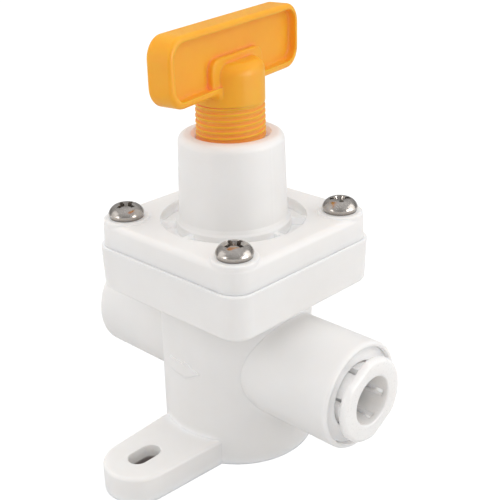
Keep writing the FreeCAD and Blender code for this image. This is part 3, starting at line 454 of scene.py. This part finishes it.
def diaphragm_sectors():
    """The rubber disc in sectors, from the hub hole to the clamped rim."""
    outline = diaphragm_outline()
    count = len(outline)
    width = 2 * math.pi / SECTORS
    for sector in range(SECTORS):
        start = sector * width
        points = []
        for step in range(SECTOR_STEPS + 1):
            angle = start + width * step / SECTOR_STEPS
            for radius, height in outline:
                points.append((radius * math.cos(angle), radius * math.sin(angle), height))
        faces = []
        for step in range(SECTOR_STEPS):
            here = step * count
            there = here + count
            for index in range(count):
                after = (index + 1) % count
                faces.append((here + index, there + index, there + after, here + after))
        piece = new_mesh(f"diaphragm_sector_{sector}", points, faces, "black_rubber")
        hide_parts("diaphragm")
        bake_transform(piece)


springs()
diaphragm_sectors()


# ---- studio -------------------------------------------------------------------------------------
CAMERA_PLACE = Vector((125.95, -125.87, 118.51)) * MM
CAMERA_AZIMUTH = 44.229
CAMERA_ELEVATION = 23.702
CAMERA_ROLL = -1.422
SENSOR = 36.0
FOCAL = 69.84
SHIFT = (0.0064, 0.0015)
CLIP = (0.005, 20.0)

WARM = (1.0, 0.985, 0.965)
LIGHT_AIM_Z = 0.040
WALL = (0.26, 0.34)
# name, place from the aim point as (right, toward the camera, up), size, watts, shades, glints
LIGHTS = (
    ("left_box", (-0.34, 0.02, 0.12), WALL, 0.20, True, True),
    ("right_box", (0.34, 0.02, 0.12), WALL, 0.39, True, True),
    ("top_box", (0.0, 0.0, 0.42), (0.40, 0.40), 0.55, True, False),
    ("front_box", (0.0, 0.40, 0.25), (0.30, 0.20), 0.33, True, False),
    ("back_box", (-0.25, -0.25, 0.16), WALL, 0.28, True, False),
    ("left_glint", (-0.30, 0.22, 0.06), (0.10, 0.14), 0.25, False, True),
    ("right_glint", (0.34, 0.20, 0.07), (0.24, 0.18), 0.9, False, True),
)

FLOOR_HALF = 1.5
FLOOR_DROP = 0.02 * MM          # keeps the floor clear of the underside
FLOOR_GLOW = 1.12
FLOOR_GLOW_SHARE = 0.93         # share of the glow in what the camera sees


def camera_axes():
    azimuth = math.radians(CAMERA_AZIMUTH)
    elevation = math.radians(CAMERA_ELEVATION)
    roll = math.radians(CAMERA_ROLL)
    back = Vector((math.sin(azimuth) * math.cos(elevation), -math.cos(azimuth) * math.cos(elevation),
                   math.sin(elevation)))
    level = (-back).cross(Vector((0.0, 0.0, 1.0))).normalized()
    above = level.cross(-back).normalized()
    right = level * math.cos(roll) + above * math.sin(roll)
    up = above * math.cos(roll) - level * math.sin(roll)
    return right, up, back


def place_camera():
    data = bpy.data.cameras.new("camera")
    data.sensor_width = SENSOR
    data.lens = FOCAL
    data.shift_x, data.shift_y = SHIFT
    data.clip_start, data.clip_end = CLIP
    camera = bpy.data.objects.new("camera", data)
    bpy.context.scene.collection.objects.link(camera)
    camera.matrix_world = Matrix.Translation(CAMERA_PLACE) @ Matrix(camera_axes()).transposed().to_4x4()
    bpy.context.scene.camera = camera


def softbox(name, place, aim, size, power, shades, glints):
    """Area light; it can be kept out of the shading or out of the reflections."""
    data = bpy.data.lights.new(name, "AREA")
    data.shape = "RECTANGLE"
    data.size, data.size_y = size
    data.energy = power
    data.color = WARM
    lamp = bpy.data.objects.new(name, data)
    bpy.context.scene.collection.objects.link(lamp)
    lamp.location = place
    lamp.rotation_mode = "QUATERNION"
    lamp.rotation_quaternion = (aim - place).to_track_quat("-Z", "Y")
    lamp.visible_diffuse = shades
    lamp.visible_glossy = glints


def lights():
    side = Vector((math.cos(math.radians(CAMERA_AZIMUTH)), math.sin(math.radians(CAMERA_AZIMUTH)), 0.0))
    front = Vector((side.y, -side.x, 0.0))
    up = Vector((0.0, 0.0, 1.0))
    aim = Vector((0.0, 0.0, LIGHT_AIM_Z))
    for name, (right, forward, rise), size, power, shades, glints in LIGHTS:
        place = aim + side * right + front * forward + up * rise
        softbox(name, place, aim, size, power, shades, glints)


def world():
    """Even pale light all round; reflections see a darker room so that metal keeps its contrast."""
    block = bpy.data.worlds.new("studio")
    bpy.context.scene.world = block
    s = Shader("studio", block)
    ray = s.add("LightPath")
    where = s.add("TexCoord").outputs["Generated"]
    height = s.add("SeparateXYZ", {0: where}).outputs[2]
    share = s.span(height, -0.2, 0.9, 0.0, 1.0)
    room = s.mix(share, rgb(0.16, 0.155, 0.15), rgb(0.75, 0.75, 0.76))
    even = s.mix(share, rgb(0.74, 0.745, 0.755), rgb(0.66, 0.655, 0.665))
    tone = s.mix(ray.outputs["Is Glossy Ray"], even, room)
    tone = s.mix(ray.outputs["Is Camera Ray"], tone, rgb(1.0, 1.0, 1.0))
    light = s.add("Background", {"Color": tone, "Strength": 1.0})
    s.add("OutputWorld", {"Surface": light})


def floor():
    """Pale matt floor that the camera sees as white paper, except through the slots of the foot."""
    s = Shader("floor_paper")
    where = s.place()
    fibre = s.noise(where, 600.0, 4.0)
    tone = s.mix(s.span(fibre, 0.3, 0.7, 0.0, 1.0), rgb(0.74, 0.74, 0.74), rgb(0.72, 0.72, 0.72))
    paper = s.add("BsdfDiffuse", {"Color": tone, "Normal": s.bump(fibre, 0.1, 0.05 * MM)})
    glow = s.add("Emission", {"Color": rgb(1.0, 1.0, 1.0), "Strength": FLOOR_GLOW})
    outside = s.math("SUBTRACT", 1.0, within(s, where, SLOT_SHADE, SLOT_SHADE))
    ray = s.add("LightPath")
    seen = s.math("MULTIPLY", outside, FLOOR_GLOW_SHARE)
    share = s.math("MULTIPLY", ray.outputs["Is Camera Ray"], seen)
    s.finish(s.add("MixShader", {0: share, 1: paper, 2: glow}))
    corners = [(x * FLOOR_HALF, y * FLOOR_HALF, 0.0) for x, y in ((-1, -1), (1, -1), (1, 1), (-1, 1))]
    mesh = bpy.data.meshes.new("floor")
    mesh.from_pydata(corners, [], [(0, 1, 2, 3)])
    mesh.materials.append(s.block)
    ground = bpy.data.objects.new("floor", mesh)
    bpy.context.scene.collection.objects.link(ground)
    ground.location.z = -FLOOR_DROP


world()
floor()
lights()
place_camera()
bpy.context.scene.view_settings.view_transform = "Standard"
